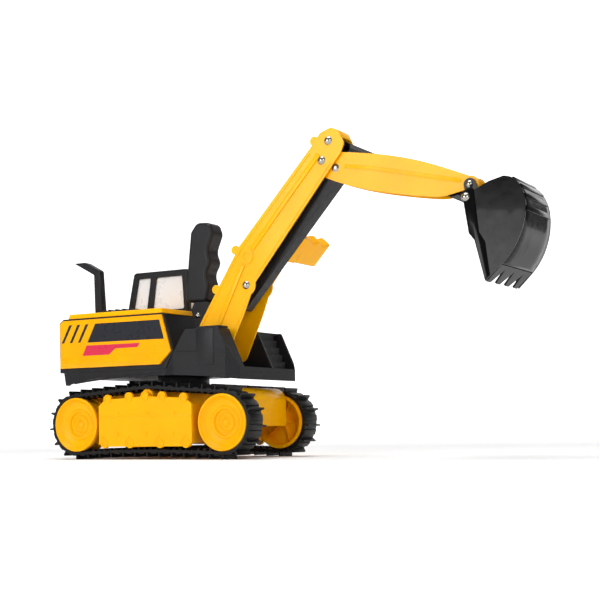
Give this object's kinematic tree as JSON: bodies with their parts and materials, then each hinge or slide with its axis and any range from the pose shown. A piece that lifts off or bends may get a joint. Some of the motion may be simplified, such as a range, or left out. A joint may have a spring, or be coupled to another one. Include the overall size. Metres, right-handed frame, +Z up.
{
  "type": "toy excavator",
  "caption": "Toy tracked excavator with a slewing house, cab, carrying grip, and a lever-worked boom, stick and toothed bucket.",
  "frame": {"origin": "on the ground, under the axis that the house turns about", "axes": "+X forwards to the bucket, +Y to the machine's left, +Z up"},
  "size_m": [0.5186, 0.138, 0.313],
  "materials": {
    "yellow_paint": "glossy yellow enamel on sheet steel",
    "yellow_plastic": "glossy yellow moulded plastic",
    "black_plastic": "satin black moulded plastic",
    "track_rubber": "semi-gloss black flexible belt",
    "black_paint": "glossy black enamel on sheet steel",
    "nickel": "bright nickel plate",
    "steel": "plain bright steel",
    "clear_glazing": "clear moulded window plastic"
  },
  "bodies": {
    "undercarriage": {"chassis": "yellow_paint", "turntable_ring": "black_plastic", "swivel_rivet": "steel", "swivel_washer": "steel", "front_axle": "steel", "rear_axle": "steel", "roller_pins": "steel", "bogie_cover_right": "yellow_plastic", "bogie_cover_left": "yellow_plastic", "track_belt_right": "track_rubber", "track_belt_left": "track_rubber"},
    "house": {"slew_plate": "black_plastic", "house_base": "black_plastic", "body_shell": "black_plastic", "side_panel_right": "yellow_paint", "side_panel_left": "yellow_paint", "rear_panel": "black_plastic", "hood": "yellow_plastic", "engine_grille": "black_plastic", "exhaust_stack": "black_plastic", "right_cheek": "black_plastic", "left_cheek": "black_plastic", "foot_pin": "steel", "cab_frame": "black_plastic", "cab_glazing": "clear_glazing"},
    "boom": {"boom_plate_right": "yellow_paint", "boom_plate_left": "yellow_paint", "boom_spine": "yellow_paint", "foot_bush": "black_plastic", "top_rivet": "nickel", "elbow_rivet": "nickel", "slot_rivet": "nickel", "handle_shell_right": "black_plastic", "handle_shell_left": "black_plastic", "handle_bracket": "black_plastic", "handle_rivet": "nickel"},
    "stick": {"stick_plate_right": "yellow_paint", "stick_plate_left": "yellow_paint", "stick_web": "yellow_paint", "bar_rivet": "nickel"},
    "push_bar": {"push_bar": "black_plastic", "push_bar_grip": "yellow_plastic"},
    "link": {"bucket_link": "black_paint"},
    "bucket": {"bucket_shell": "black_paint", "bucket_side_right": "black_paint", "bucket_side_left": "black_paint", "bucket_teeth": "black_paint", "bucket_bracket": "black_paint", "bucket_rivet": "nickel", "link_rivet": "nickel"},
    "front_wheel_right": {"wheel_front_right": "yellow_plastic"},
    "front_wheel_left": {"wheel_front_left": "yellow_plastic"},
    "rear_wheel_right": {"wheel_rear_right": "yellow_plastic"},
    "rear_wheel_left": {"wheel_rear_left": "yellow_plastic"},
    "roller_right": {"upper_roller_right": "yellow_plastic"},
    "roller_left": {"upper_roller_left": "yellow_plastic"}
  },
  "joints": [
    {"name": "house_slew", "type": "hinge", "parent": "undercarriage", "child": "house", "pos_m": [0, 0, 0.084], "axis": [0, 0, 1], "continuous": true},
    {"name": "boom_lift", "type": "hinge", "parent": "house", "child": "boom", "pos_m": [0.055, -0.0145, 0.1095], "axis": [0, 1, 0], "range_deg": [-8, 30]},
    {"name": "stick_swing", "type": "hinge", "parent": "boom", "child": "stick", "pos_m": [0.183, -0.0145, 0.283], "axis": [0, 1, 0], "range_deg": [-8, 25]},
    {"name": "bucket_curl", "type": "hinge", "parent": "stick", "child": "bucket", "pos_m": [0.333, -0.0145, 0.244], "axis": [0, 1, 0], "range_deg": [-10.6, 32.2]},
    {"name": "link_swing", "type": "hinge", "parent": "boom", "child": "link", "pos_m": [0.19, -0.0145, 0.301], "axis": [0, 1, 0], "range_deg": [-8.6, 26.2]},
    {"name": "push_bar_tilt", "type": "hinge", "parent": "stick", "child": "push_bar", "pos_m": [0.196, -0.0145, 0.275], "axis": [0, 1, 0], "range_deg": [-25.5, 8.5]},
    {"name": "front_wheel_right_roll", "type": "hinge", "parent": "undercarriage", "child": "front_wheel_right", "pos_m": [0.0905, -0.055, 0.0358], "axis": [0, 1, 0], "continuous": true},
    {"name": "rear_wheel_right_roll", "type": "hinge", "parent": "undercarriage", "child": "rear_wheel_right", "pos_m": [-0.0905, -0.055, 0.0358], "axis": [0, 1, 0], "continuous": true},
    {"name": "roller_right_roll", "type": "hinge", "parent": "undercarriage", "child": "roller_right", "pos_m": [0, -0.055, 0.0635], "axis": [0, 1, 0], "continuous": true},
    {"name": "front_wheel_left_roll", "type": "hinge", "parent": "undercarriage", "child": "front_wheel_left", "pos_m": [0.0905, 0.055, 0.0358], "axis": [0, 1, 0], "continuous": true},
    {"name": "rear_wheel_left_roll", "type": "hinge", "parent": "undercarriage", "child": "rear_wheel_left", "pos_m": [-0.0905, 0.055, 0.0358], "axis": [0, 1, 0], "continuous": true},
    {"name": "roller_left_roll", "type": "hinge", "parent": "undercarriage", "child": "roller_left", "pos_m": [0, 0.055, 0.0635], "axis": [0, 1, 0], "continuous": true}
  ],
  "couplings": [
    {"joint": "bucket_curl", "follows": "stick_swing", "ratio": 1.27},
    {"joint": "link_swing", "follows": "stick_swing", "ratio": 1.035},
    {"joint": "push_bar_tilt", "follows": "stick_swing", "ratio": -1},
    {"joint": "rear_wheel_right_roll", "follows": "front_wheel_right_roll", "ratio": 1},
    {"joint": "roller_right_roll", "follows": "front_wheel_right_roll", "ratio": 3.88},
    {"joint": "rear_wheel_left_roll", "follows": "front_wheel_left_roll", "ratio": 1},
    {"joint": "roller_left_roll", "follows": "front_wheel_left_roll", "ratio": 3.88}
  ]
}
